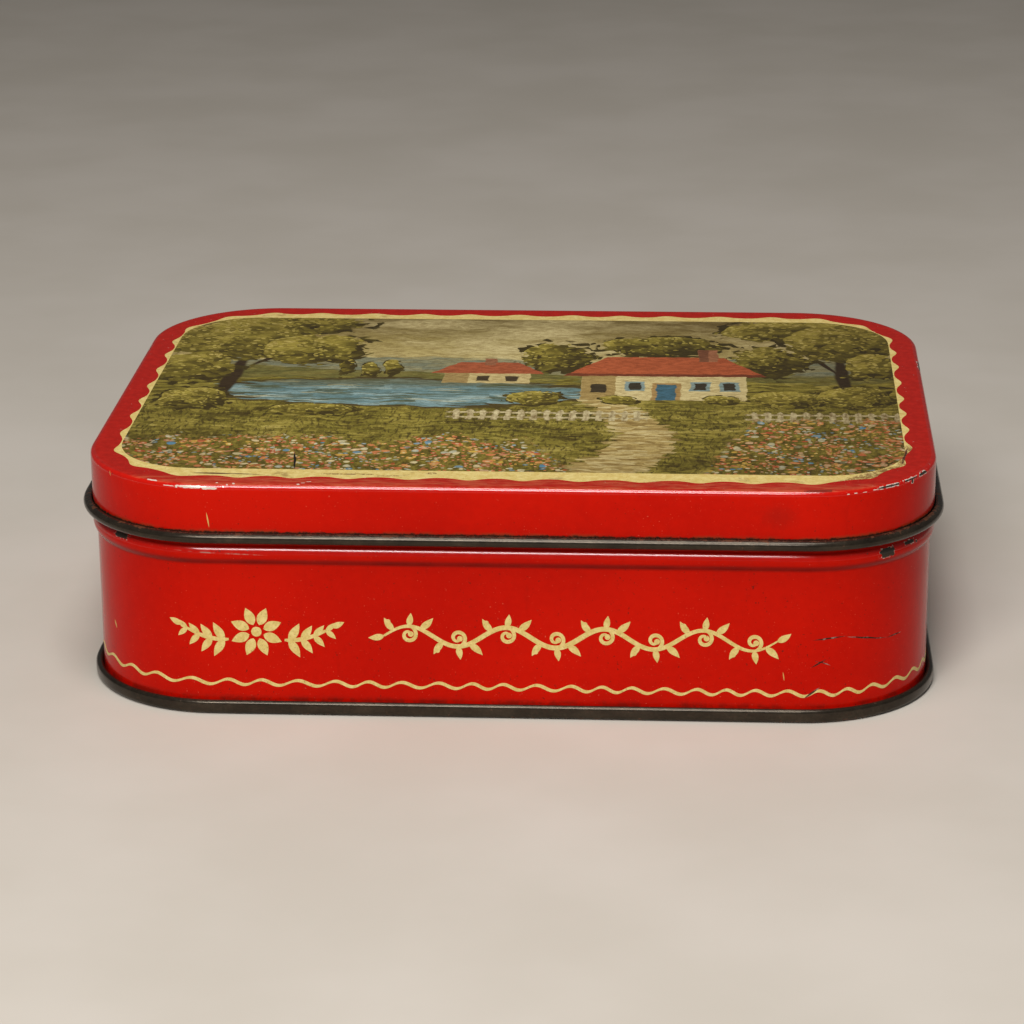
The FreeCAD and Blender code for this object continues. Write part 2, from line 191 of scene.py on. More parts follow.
def wall_section():
    """Rows of the body's wall as one loop: outside from hem to hook, then inside back up to the hem."""
    hem = (-HEM_OUT, WALL_TOP - HEM_OUT)
    reach = BEAD_HALF + BEAD_CREASE
    beading = np.linspace(BEAD_Z + reach, BEAD_Z - reach, BEAD_ROWS)
    heights = [*np.linspace(hem[1], beading[0], 4)[:-1]]
    lower = [*np.linspace(beading[-1], HOOK_MID[1], 8)[1:]]
    hem_over = arc(hem, HEM_OUT, 180, 0)
    bow = bead(beading, 0.0)
    outside, rubbed = run(0.0, heights) + bow[:RUB_TOP], bow[RUB_TOP:RUB_END]
    below = bow[RUB_END:] + run(0.0, lower)
    hook = arc(HOOK_MID, HOOK_RADII[0], 180, 360) + [(HOOK_MID[0] + HOOK_RADII[0], HOOK_TOP)]
    hook += [(HOOK_MID[0] + HOOK_RADII[1], HOOK_TOP)] + arc(HOOK_MID, HOOK_RADII[1], 360, 180)
    inside = run(-SHEET, lower[::-1]) + bead(beading[::-1], -SHEET) + run(-SHEET, heights[::-1])
    leaf = arc(hem, HEM_OUT - SHEET, 0, 180) + [(SHEET - 2 * HEM_OUT, WALL_TOP - HEM_LEAF)]
    leaf += [(-2 * HEM_OUT, WALL_TOP - HEM_LEAF)]
    return [(hem_over, INSIDE), (outside, PRINTED), (rubbed, RUBBED), (below, PRINTED),
            (hook, EDGE), (inside, INSIDE), (leaf, INSIDE)]


def base_section():
    """Rows of the base from the middle of its top, round the double seam, to the middle below."""
    shares = np.array([0.05, 0.2, 0.36, 0.52, 0.68, 0.82, 0.92, 1.0])
    inner, outer = BASE_BEND_RADII
    top, under = BASE_BEND_MID[1] + outer, BASE_BEND_MID[1] + inner
    chuck_out = BASE_BEND_MID[0] + outer
    seam_in, seam_out = FOOT_OUT[0] + FOOT_RADII[0], FOOT_OUT[0] + FOOT_RADII[1]
    fold_in, fold_out = seam_in - FOLD_MID[0], seam_out - FOLD_MID[0]
    panel = rings(STEP_IN, top + STEP_RISE, shares)
    panel += [(STEP_OUT, top)] + arc(BASE_BEND_MID, outer, 90, 0) + [(chuck_out, FOOT_IN[1])]
    panel += arc(FOOT_IN, FOOT_RADII[0], 180, 270) + arc(FOOT_OUT, FOOT_RADII[0], 270, 360)
    panel += arc(FOLD_MID, fold_in, 0, 180) + [(FOLD_MID[0] - fold_in, HOOK_MID[1])]
    seam = [(FOLD_MID[0] - fold_out, HOOK_MID[1])] + arc(FOLD_MID, fold_out, 180, 0)
    seam += arc(FOOT_OUT, FOOT_RADII[1], 360, 270) + arc(FOOT_IN, FOOT_RADII[1], 270, 180)
    under_rows = arc(BASE_BEND_MID, inner, 0, 90) + [(STEP_OUT, under)]
    under_rows += rings(STEP_IN, under + STEP_RISE, shares[::-1])
    # The base has materials of its own: top, seam and underside
    return [(panel, 0), (seam, 1), (under_rows, 2)]


def section_rows(section):
    """Offset, height, share and material of each row, which ends a band; repeats are left out."""
    rows = []
    for points, kind in section:
        for point in points:
            row = (point[0], point[1], point[2] if len(point) > 2 else 1.0)
            if not rows or np.abs(np.subtract(row, rows[-1][:3])).max() > 1e-6:
                rows.append((*row, kind))
    return np.array(rows)


# Meshes

def swept(rows, shift=None):
    """Points of a section carried round the plan; shift moves rows and columns off the section."""
    offset = np.repeat(rows[:, 0:1], len(STATIONS), 1)
    if shift is not None:
        offset = offset + shift(rows)
    stations = np.broadcast_to(STATIONS, offset.shape)
    points = wall_points(stations, offset, rows[:, 1:2])
    points[..., :2] *= rows[:, 2][:, None, None]
    return points


def band_faces(count, columns, closed):
    """Quads between neighbouring rows of a ring of columns."""
    last = count if closed else count - 1
    faces = []
    for i in range(last):
        a, b = i * columns, (i + 1) % count * columns
        for j in range(columns):
            k = (j + 1) % columns
            faces.append((a + j, b + j, b + k, a + k))
    return faces


def fan_faces(row, columns, middle):
    return [(row * columns + j, row * columns + (j + 1) % columns, middle) for j in range(columns)]


def new_piece(name, points, faces, materials, kinds, body):
    """A mesh object from points in millimetres, its normals outward, riding on a body."""
    mesh = bpy.data.meshes.new(name)
    mesh.from_pydata((np.asarray(points) * MM).tolist(), [], faces)
    for material in materials:
        mesh.materials.append(material)
    mesh.polygons.foreach_set("material_index", np.asarray(kinds, dtype=np.int32))
    shell = bmesh.new()
    shell.from_mesh(mesh)
    bmesh.ops.recalc_face_normals(shell, faces=shell.faces)
    shell.to_mesh(mesh)
    shell.free()
    mesh.shade_smooth()
    mesh.set_sharp_from_angle(angle=math.radians(SHARP_ANGLE))
    piece = bpy.data.objects.new(name, mesh)
    bpy.context.scene.collection.objects.link(piece)
    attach(piece, body)
    return piece


def capped_sheet(name, points, rows, materials, body):
    """A pressed sheet whose section starts and ends at the middle of its panel."""
    count, columns = points.shape[:2]
    middles = [points[i].mean(0) for i in (0, count - 1)]
    faces = band_faces(count, columns, False)
    kinds = np.repeat(rows[1:, 3], columns).tolist()
    total = count * columns
    faces += fan_faces(0, columns, total) + fan_faces(count - 1, columns, total + 1)
    kinds += [rows[0, 3]] * columns + [rows[-1, 3]] * columns
    every = np.concatenate([points.reshape(-1, 3), middles])
    return new_piece(name, every, faces, materials, kinds, body)


def make_lid(materials):
    rows = section_rows(lid_section())
    points = swept(rows)
    panel = np.abs(rows[:, 0] - PANEL_OUT) < 1e-6
    points[panel, :, 2] -= panel_dip(points[panel])
    return capped_sheet("lid_sheet", points, rows, materials, "lid")


def make_base(materials):
    rows = section_rows(base_section())
    return capped_sheet("base_sheet", swept(rows), rows, materials, "tin")


def lock_seam(rows):
    """Offsets of the flattened side seam at the back: a crease outside, a doubled band inside."""
    across = BACK - STATIONS
    crease = (across > LOCK_HALF - CREASE_WIDE) & (across < LOCK_HALF)
    band = np.abs(across) < LOCK_HALF
    height, kind = rows[:, 1], rows[:, 3]
    outside = np.isin(kind, (PRINTED, RUBBED)) & (height > LOCK_FOOT_OUT) & (height < WALL_TOP - HEM_OUT)
    inside = (kind == INSIDE) & (height > LOCK_FOOT_IN) & (height < WALL_TOP - HEM_LEAF)
    return -CREASE_DEEP * np.outer(outside, crease) - LOCK_THICK * np.outer(inside, band)


def make_wall(materials):
    rows = section_rows(wall_section())
    points = swept(rows, lock_seam)
    count, columns = points.shape[:2]
    kinds = np.repeat(np.roll(rows[:, 3], -1), columns)
    faces = band_faces(count, columns, True)
    return new_piece("body_sheet", points.reshape(-1, 3), faces, materials, kinds, "tin")


def ink_layer(flat, lift):
    """A layer of ink on the lid's panel: its rows on top, then the same rows sunk in the sheet."""
    height = PANEL_Z - panel_dip(flat)
    top, under = (np.concatenate([flat, (height + up)[..., None]], -1) for up in (lift, -INK / 2))
    return np.concatenate([top, under[::-1]])


def ink_piece(name, points, faces, material, body):
    points = np.asarray(points).reshape(-1, 3)
    return new_piece(name, points, faces, [material], np.zeros(len(faces)), body)


def picture_outline(stations):
    half_y = (PICTURE_BACK - PICTURE_FRONT) / 2
    return outline(stations, PICTURE_X, half_y, PICTURE_CORNER, PICTURE_MIDDLE)[0]


def make_picture(material):
    """The printed picture: a thin layer of ink with the lid's own unevenness."""
    edge = picture_outline(STATIONS)
    shares = [0.05, 0.18, 0.31, 0.44, 0.57, 0.69, 0.8, 0.9, 1.0]
    middle = np.array([0.0, PICTURE_MIDDLE])
    flat = np.stack([middle + (edge - middle) * share for share in shares])
    points = ink_layer(flat, PICTURE_LIFT)
    rows = np.zeros((len(points), 4))
    return capped_sheet("lid_picture", points, rows, [material], "lid")


def make_border(material):
    """The cream border: a wavy outer edge, and the picture's edge inside."""
    count = BORDER_WAVES * BORDER_STEPS
    stations = np.arange(count) * ROUND / count
    lengths = np.diff(BREAKS) * np.where(np.diff(TURN) > 0, 1 + BORDER_OFFSET / CORNER, 1)
    along = np.interp(stations, BREAKS, np.concatenate([[0], np.cumsum(lengths)]))
    phase = 2 * np.pi * BORDER_WAVES * along / lengths.sum() + BORDER_START
    phase = phase + BORDER_DRIFT[0] * np.sin(BORDER_DRIFT[1] * 2 * np.pi * stations / ROUND)
    swing = np.cos(phase) + BORDER_POINTED * np.cos(2 * phase)
    outer = wall_points(stations, BORDER_OFFSET + BORDER_SWING * swing, 0.0)[:, :2]
    inner = picture_outline(stations) * (1 - BORDER_TUCK / PICTURE_X)
    points = ink_layer(np.stack([outer + (inner - outer) * share for share in (0.0, 0.35, 0.7, 1.0)]), INK)
    faces = band_faces(len(points), count, True)
    return ink_piece("lid_border", points, faces, material, "lid")


def make_wave_line(material):
    """The thin cream wave round the foot of the wall, thicker where the pen comes down."""
    count = WAVE_COUNT * WAVE_STEPS
    stations = np.arange(count) * ROUND / count
    turn = 2 * np.pi * stations / ROUND
    phase = WAVE_COUNT * turn + np.pi / 2 + WAVE_CROWD * (1 - np.cos(2 * turn))
    phase += WAVE_DRIFT[0] * np.sin(WAVE_DRIFT[1] * turn + 1)
    centre = WAVE_Z - WAVE_TILT * np.sin(turn) + WAVE_SWING * np.sin(phase)
    centre += WAVE_SAG[0] * np.sin(WAVE_SAG[1] * turn + 2)
    half = WAVE_HALF - WAVE_THICKEN * np.cos(phase)
    loop = [(INK, centre - half), (INK, centre + half), (-INK, centre + half), (-INK, centre - half)]
    points = np.stack([wall_points(stations, offset, height) for offset, height in loop])
    return ink_piece("wave_line", points, band_faces(4, count, True), material, "tin")


# Cream ornament on the front: a rosette with sprays, and a running vine

class Ornament:
    """Gathers strokes of ink, each a closed thin strip on the wall."""

    def __init__(self):
        self.points, self.faces, self.total, self.lift = [], [], 0, INK

    def stroke(self, path, half):
        """A strip along a path of stations and heights, with a half width at each point."""
        path, half = np.asarray(path, float), np.maximum(np.asarray(half, float), 0.03)
        along = np.gradient(path, axis=0)
        along /= np.maximum(np.linalg.norm(along, axis=1, keepdims=True), 1e-9)
        side = np.stack([-along[:, 1], along[:, 0]], -1) * half[:, None]
        self.lift += LAYER
        loop = [(k, self.lift) for k in (1, 0, -1)] + [(k, -INK) for k in (-1, 0, 1)]
        edges = [((path + side * k).T, lift) for k, lift in loop]
        strip = np.stack([wall_points(across, lift, up) for (across, up), lift in edges], 1)
        count, sides = strip.shape[:2]
        first = self.total
        for i in range(count - 1):
            for j in range(sides):
                a, b = first + i * sides, first + (i + 1) * sides
                k = (j + 1) % sides
                self.faces.append((a + j, a + k, b + k, b + j))
        end = first + (count - 1) * sides
        for row in (first, end):
            self.faces += [(row, row + 1, row + 4, row + 5), (row + 1, row + 2, row + 3, row + 4)]
        self.points.append(strip.reshape(-1, 3))
        self.total += count * sides

    def stem(self, path, start, end):
        """A pen line that swells in the middle and tapers to its ends."""
        t = np.linspace(0, 1, len(path))
        swell = np.interp(t, [0, 0.12, 0.5, 0.9, 1], [0.5, 1, 1.15, 0.8, 0.35])
        self.stroke(path, (start + (end - start) * t) * swell)

    def leaf(self, foot, turn, length, wide, bend=0.15):
        """A pointed leaf from its foot, bent to one side."""
        t = np.linspace(0, 1, 13)
        body = np.sin(np.pi * t ** 0.8) ** 0.9
        u, v = t * length, bend * length * t * t
        c, s = math.cos(math.radians(turn)), math.sin(math.radians(turn))
        path = np.stack([foot[0] + u * c - v * s, foot[1] + u * s + v * c], -1)
        self.stroke(path, wide / 2 * body)

    def dot(self, middle, radius):
        t = np.linspace(-1, 1, 15)
        path = np.stack([middle[0] + radius * np.sin(t * math.pi / 2), np.full_like(t, middle[1])], -1)
        self.stroke(path, radius * np.cos(t * math.pi / 2))

    def spiral(self, middle, radius, start, sweep, half):
        """A tendril that winds in from the stem, with a bud at its end."""
        t = np.linspace(0, 1, 36)
        turn = np.radians(start + sweep * t)
        reach = radius * (1 - 0.74 * t ** 0.85)
        path = np.stack([middle[0] + reach * np.cos(turn), middle[1] + reach * np.sin(turn)], -1)
        self.stem(path, half, half * 0.8)
        self.dot(path[-1], half * 1.55)


def rosette(ink, middle):
    """A flower of eight petals with a leaf spray to each side."""
    for k in range(8):
        turn = 22.5 + 45 * k
        c, s = math.cos(math.radians(turn)), math.sin(math.radians(turn))
        ink.leaf((middle[0] + 1.5 * c, middle[1] + 1.5 * s), turn, 3.7, 2.0, 0.0)
    ink.dot(middle, 1.0)
    t = np.linspace(0, 1, 24)
    for way in (-1, 1):
        rise = middle[1] - 1.6 + 4.2 * t ** 1.7 - 1.5 * t
        spine = np.stack([middle[0] + way * (5.4 + 9.2 * t), rise], -1)
        ink.stem(spine, 0.42, 0.3)
        for k, share in enumerate((0.12, 0.38, 0.64, 0.88)):
            foot = spine[int(share * (len(t) - 1))]
            lead = 52 - 6 * k
            size = 4.0 - 0.5 * k
            for side in (1, -1):
                turn = side * lead if way > 0 else 180 - side * lead
                ink.leaf(foot, turn, size, size * 0.42, 0.12 * side * way)
        ink.leaf(spine[-1], 25 if way > 0 else 155, 2.6, 1.2, 0.0)


def vine(ink, start, end, middle, swing, turns):
    """A running stem that rises and falls, with a tendril in each hollow and leaves on each crest."""
    t = np.linspace(0, 1, 240)
    line = np.stack([start + (end - start) * t, middle + swing * np.sin(2 * np.pi * turns * t)], -1)
    ink.stem(line, 0.44, 0.44)
    for k in range(int(2 * turns)):
        share = (k + 0.5) / (2 * turns)
        places = (min(int((share + shift) * len(t)), len(t) - 1) for shift in (0, 0.03, -0.034))
        crest, after, before = (line[place] for place in places)
        up = 1 if k % 2 == 0 else -1
        ink.spiral(crest - (0, up * 1.75), 1.75, 90 * up, -430 * up, 0.36)
        ink.leaf(crest, 74 * up, 2.7, 1.25, 0.1 * up)
        ink.leaf(after, 30 * up, 3.3, 1.35, 0.2 * up)
        ink.leaf(before, 138 * up, 3.0, 1.3, -0.2 * up)
        ink.dot(crest + (-3.9, up * 0.9), 0.45)
    ink.leaf(line[0], 200, 3.0, 1.3, -0.2)
    ink.leaf(line[-1], 20, 3.0, 1.3, 0.2)


def make_ornament(material):
    ink = Ornament()
    rosette(ink, (-47.6, 16.6))
    vine(ink, -23.0, 52.0, 16.2, 2.0, 4.0)
    points = np.concatenate(ink.points)
    return ink_piece("vine_ornament", points, ink.faces, material, "tin")


# Node materials, written as sums of patterns

def tone(red, green, blue):
    """A colour given as it shows on screen, in the linear values that shaders take."""
    shown = np.array([red, green, blue]) / 255
    linear = np.where(shown <= 0.04045, shown / 12.92, ((shown + 0.055) / 1.055) ** 2.4)
    return (*linear.tolist(), 1.0)


def operator(operation):
    """What a wire does with the other side of a sum."""
    return lambda wire, other: wire.graph.math(operation, wire, other)


class Wire:
    """An output of a node that takes part in sums."""

    def __init__(self, graph, socket):
        self.graph, self.socket = graph, socket

    def __rsub__(self, other):
        return self.graph.math("SUBTRACT", other, self)

    __add__ = __radd__ = operator("ADD")
    __sub__ = operator("SUBTRACT")
    __mul__ = __rmul__ = operator("MULTIPLY")

    def __abs__(self):
        return self.graph.math("ABSOLUTE", self)


class Graph:
    """A material and the patterns that its nodes are made of; lengths are in millimetres."""

    def __init__(self, name):
        self.material = bpy.data.materials.new(name)
        self.material.use_nodes = True
        self.tree = self.material.node_tree
        self.shader = self.tree.nodes["Principled BSDF"]
        place = self.tree.nodes.new("ShaderNodeTexCoord").outputs["Object"]
        self.p = self.vector("SCALE", Wire(self, place), Scale=1 / MM)
        self.x, self.y, self.z = self.split(self.p)
        self.colour = None

    def feed(self, slot, value):
        if isinstance(value, Wire):
            self.tree.links.new(value.socket, slot)
        else:
            slot.default_value = value

    def node(self, kind, settings, *values, **inputs):
        """A node with its settings made, and its inputs fed by their order or their names."""
        node = self.tree.nodes.new("ShaderNode" + kind)
        for name, setting in settings.items():
            setattr(node, name, setting)
        for slot, value in zip(node.inputs, values):
            self.feed(slot, value)
        for name, value in inputs.items():
            self.feed(node.inputs[name], value)
        return node

    def math(self, operation, *values):
        return Wire(self, self.node("Math", {"operation": operation}, *values).outputs[0])

    def most(self, *values):
        return functools.reduce(lambda one, other: self.math("MAXIMUM", one, other), values)

    def vector(self, operation, *values, **inputs):
        node = self.node("VectorMath", {"operation": operation}, *values, **inputs)
        return Wire(self, node.outputs["Value" if operation == "LENGTH" else "Vector"])

    def stretch(self, across, up, deep=1.0, where=None):
        """Coordinates times a factor each way."""
        return self.vector("MULTIPLY", where or self.p, (across, up, deep))

    def split(self, vector):
        return [Wire(self, out) for out in self.node("SeparateXYZ", {}, vector).outputs]

    def join(self, x, y, z=0.0):
        return Wire(self, self.node("CombineXYZ", {}, x, y, z).outputs[0])

    def noise(self, size, where=None, detail=2.0, rough=0.5, vector=False):
        node = self.node("TexNoise", {}, Vector=where or self.p, Scale=1 / size, Detail=detail,
                         Roughness=rough)
        return Wire(self, node.outputs[1 if vector else 0])

    def dabs(self, where, wide, tall):
        """Brush dabs: the middle of a point's dab, its three chances, and how far off the middle is."""
        node = self.node("TexVoronoi", {"voronoi_dimensions": "2D"}, Scale=1.0,
                         Vector=self.stretch(1 / wide, 1 / tall, where=where))
        middle = self.vector("MULTIPLY", Wire(self, node.outputs["Position"]), (wide, tall, 0))
        chances = self.split(Wire(self, node.outputs["Color"]))
        return (*self.split(middle)[:2], *chances, Wire(self, node.outputs["Distance"]))

    def ramp(self, value, low, high):
        """0 at low, 1 at high, smooth between."""
        node = self.node("MapRange", {"interpolation_type": "SMOOTHSTEP"}, value, low, high)
        return Wire(self, node.outputs[0])

    def blend(self, share, under, over, kind="MIX"):
        node = self.node("Mix", {"data_type": "RGBA", "blend_type": kind}, share)
        for slot, value in zip(node.inputs[6:8], (under, over)):
            self.feed(slot, value if isinstance(value, Wire) else tone(*value))
        return Wire(self, node.outputs[2])

    def paint(self, share, over, kind="MIX"):
        """Lays a colour over what the material shows so far."""
        self.colour = self.blend(share, self.colour, over, kind)

    def shades(self, value, *stops):
        """A colour that runs through stops of (place, colour)."""
        node = self.node("ValToRGB", {}, value)
        ramp = node.color_ramp
        while len(ramp.elements) < len(stops):
            ramp.elements.new(0.5)
        for element, (place, colour) in zip(ramp.elements, stops):
            element.position, element.color = place, tone(*colour)
        return Wire(self, node.outputs[0])

    def framed(self, where, middle, size, turn=0.0):
        """Coordinates in which a mark at middle, turned and as large as size, reaches from -1 to 1."""
        node = self.node("Mapping", {"vector_type": "TEXTURE"}, Vector=where, Location=middle,
                         Rotation=(0, 0, math.radians(turn)), Scale=size)
        return Wire(self, node.outputs[0])

    def scratch(self, where, start, end, half):
        """A line from start to end that tapers away at both ends, in the first two coordinates."""
        middle = [(a + b) / 2 for a, b in zip(start, end)]
        reach = math.dist(start, end) / 2
        turn = math.degrees(math.atan2(end[1] - start[1], end[0] - start[0]))
        u, v, _ = self.split(self.framed(where, (*middle, 0), (reach, half, 1), turn))
        return self.ramp(u * u + abs(v), 1.0, 0.6)

    def scratches(self, where, lines):
        """All of the lines, each given by its start, end and half width."""
        return self.most(*(self.scratch(where, *line) for line in lines))

    def blots(self, marks, rough, grow=0.0):
        """Squarish spots with a ragged edge, each given by its middle, half sizes and turn."""
        found = []
        for middle, size, turn in marks:
            near = self.framed(self.p, middle, [half + grow for half in size], turn)
            away = self.math("SQRT", self.vector("LENGTH", self.vector("MULTIPLY", near, near)))
            found.append(self.ramp(away + rough, 1.08, 0.92))
        return self.most(*found)

    def bump(self, height, strength, distance):
        node = self.node("Bump", {}, Height=height, Strength=strength, Distance=distance * MM)
        self.tree.links.new(node.outputs[0], self.shader.inputs["Normal"])

    def finish(self, **inputs):
        """The material with its painted colour and the shader's other inputs."""
        for name, value in {"base_color": self.colour, **inputs}.items():
            self.feed(self.shader.inputs[name.replace("_", " ").title().replace("Ior", "IOR")], value)
        return self.material


# Colours, as they show on screen
RED, RED_DEEP, RED_TOP_SHADE = (197, 16, 1), (183, 12, 1), (160, 21, 8)
CREAM, CREAM_DEEP = (230, 208, 136), (210, 182, 104)
RUST = (112, 62, 34)
GRIME = (46, 28, 20)
STEEL = (66, 60, 52)
PRIMER = (220, 204, 188)
# Start and end of the cut that crosses the wave line
LOW_CUT = (57.1, 4.5), (60.4, 7.0)
# Gloss of the enamel, and of the ridges that hands have rubbed
FLAT_GLOSS = {"specular_ior_level": 0.11, "specular_tint": tone(255, 222, 204)}
RUBBED_GLOSS = {"specular_ior_level": 0.6, "specular_tint": tone(255, 255, 255)}


def enamel(g):
    """Red litho enamel before wear: a slow change of tone, fine mottle, dust and scattered dirt."""
    cloud = g.noise(34.0, detail=3.0)
    mottle = g.noise(1.6, detail=3.0, rough=0.65)
    g.colour = g.blend(g.ramp(cloud * 0.7 + mottle * 0.3, 0.34, 0.66), RED_DEEP, RED)
    streak = g.noise(3.0, g.stretch(1, 1, 0.25), 4.0, 0.7)
    g.paint(g.ramp(streak, 0.6, 0.8) * 0.35, (140, 14, 4))
    patchy = g.ramp(g.noise(9.0), 0.4, 0.6)
    dirt = g.ramp(g.noise(0.5, detail=1.0), 0.7, 0.77) * patchy
    dust = g.ramp(g.noise(0.32, g.vector("ADD", g.p, (7.0, 3.0, 5.0)), 1.0), 0.73, 0.8)
    g.paint(dust * (1.0 - patchy * 0.6) * 0.35, (224, 150, 120))
    g.paint(dirt * 0.7, GRIME)
    return mottle


def enamel_finish(g, bare, mottle, gloss):
    """The enamel's surface: metallic and duller where the sheet is bare."""
    waviness = g.noise(14.0, detail=1.0)
    grain = g.noise(0.35)
    g.bump(waviness * 0.5 + grain * 0.02 - bare * 0.3, 0.2, 0.25)
    rough = g.ramp(mottle, 0.2, 0.9) * 0.1 + 0.12 + bare * 0.2
    return g.finish(metallic=bare * 0.5, roughness=rough, **gloss)


def ragged_edge(g):
    """Uneven reach of a chip's edge, coarse and fine together."""
    return (g.noise(0.9) - 0.5) * 1.5 + (g.noise(0.32, detail=3.0, rough=0.7) - 0.5) * 1.3


def lid_enamel(name, gloss):
    g = Graph(name)
    mottle, ragged = enamel(g), ragged_edge(g)
    front, facing = g.join(g.x, g.z), g.ramp(g.y, -50, -55)
    # Painted shade: the flat top is painted darker and duller than the skirt
    flat = g.ramp(g.z, LID_TOP - 0.25, LID_TOP - 0.08)
    g.paint(flat * 0.85, g.blend(g.ramp(mottle, 0.35, 0.7), RED_TOP_SHADE, (178, 28, 16)))
    # Dull orange haze along the front edge of the top
    haze = g.noise(0.9, g.stretch(0.2, 1), 4.0, 0.7)
    front_edge = g.ramp(g.y, -57.0, -59.0) * g.ramp(g.z, LID_TOP - 0.35, LID_TOP - 0.15)
    g.paint(front_edge * g.ramp(haze, 0.36, 0.7) * 0.5, (200, 110, 72))
    # Grime and rust where the skirt meets the curl
    low = g.ramp(g.z + ragged * 0.3, CURL_MID[1] + 1.9, CURL_MID[1] + 0.7)
    g.paint(low * g.ramp(g.noise(5.0, detail=3.0), 0.36, 0.6), RUST)
    g.paint(g.ramp(g.z + ragged * 0.5, CURL_MID[1] + 1.35, CURL_MID[1] + 0.95), GRIME)
    # Wear along the shoulder: nicks all round, pale rubs at the front left, chips at the front right
    ridge = g.ramp(abs(g.z - (LID_TOP - 0.4)), 0.5, 0.25)
    nicks = g.ramp(g.noise(1.3, detail=4.0, rough=0.8), 0.67, 0.7) * ridge
    rubs = [((-59.0, -62.7, 45.9), (2.9, 0.8, 0.26), -5), ((-55.6, -63.0, 45.72), (1.5, 0.6, 0.2), 0),
            ((-63.4, -62.1, 45.85), (1.1, 0.6, 0.07), -15), ((-67.0, -60.3, 46.36), (1.2, 0.5, 0.07), -24),
            ((-52.9, -62.7, 46.0), (0.16, 0.4, 0.16), 0), ((-52.2, -62.5, 46.3), (0.2, 0.3, 0.14), 0),
            ((-51.0, -62.2, 46.45), (0.22, 0.25, 0.2), 0), ((-54.2, -61.9, 46.45), (0.2, 0.2, 0.2), 0),
            ((64.7, -61.6, 45.7), (0.26, 0.6, 0.09), 20), ((66.2, -61.1, 45.75), (0.3, 0.6, 0.08), 23),
            ((67.9, -60.4, 45.72), (0.42, 0.6, 0.05), 25), ((69.8, -59.3, 45.85), (0.45, 0.6, 0.07), 31),
            ((-38.7, -62.2, 46.4), (0.25, 0.2, 0.3), 0), ((-37.9, -61.4, 46.4), (0.32, 0.13, 0.3), 12),
            ((-36.8, -60.5, 46.4), (0.5, 0.15, 0.3), 15)]
    pale = g.most(nicks * 0.6, g.blots(rubs, ragged))
    chips = [((72.6, -57.3, 45.95), (2.7, 0.7, 0.16), 39), ((76.8, -53.0, 45.98), (1.9, 0.7, 0.13), 53),
             ((77.1, -52.8, 45.5), (0.3, 0.7, 0.38), 53), ((79.3, -49.3, 45.95), (1.7, 0.7, 0.22), 63),
             ((-82.4, 30.0, 45.9), (2.4, 0.6, 0.3), 90), ((82.4, 22.0, 46.0), (3.0, 0.6, 0.3), 90),
             ((-56.0, 62.8, 45.9), (3.2, 0.6, 0.3), 0)]
    dark, rim = g.blots(chips, ragged * 0.8), g.blots(chips, ragged * 0.8, 0.14)
    pale = g.most(pale, rim * g.ramp(g.noise(0.6), 0.42, 0.55))
    stain = g.blots([((59.4, -62.1, 46.45), (2.6, 0.45, 0.3), 8)], ragged * 0.5)
    g.paint(stain * 0.7, (96, 30, 22))
    g.paint(pale, PRIMER)
    g.paint(dark, STEEL)
    lines = [((-56.3, 41.1), (-55.8, 37.7), 0.16), ((-76.1, 46.1), (-75.9, 45.0), 0.09)]
    g.paint(g.scratches(front, lines) * facing * 0.8, CREAM_DEEP)
    away = g.vector("LENGTH", g.framed(front, (52.0, 41.6, 0), (3.6, 2.6, 1))) + ragged * 0.5
    g.paint(g.ramp(away, 1.3, 0.2) * facing * 0.2, GRIME)
    return enamel_finish(g, g.most(dark, pale * 0.2), mottle, gloss)


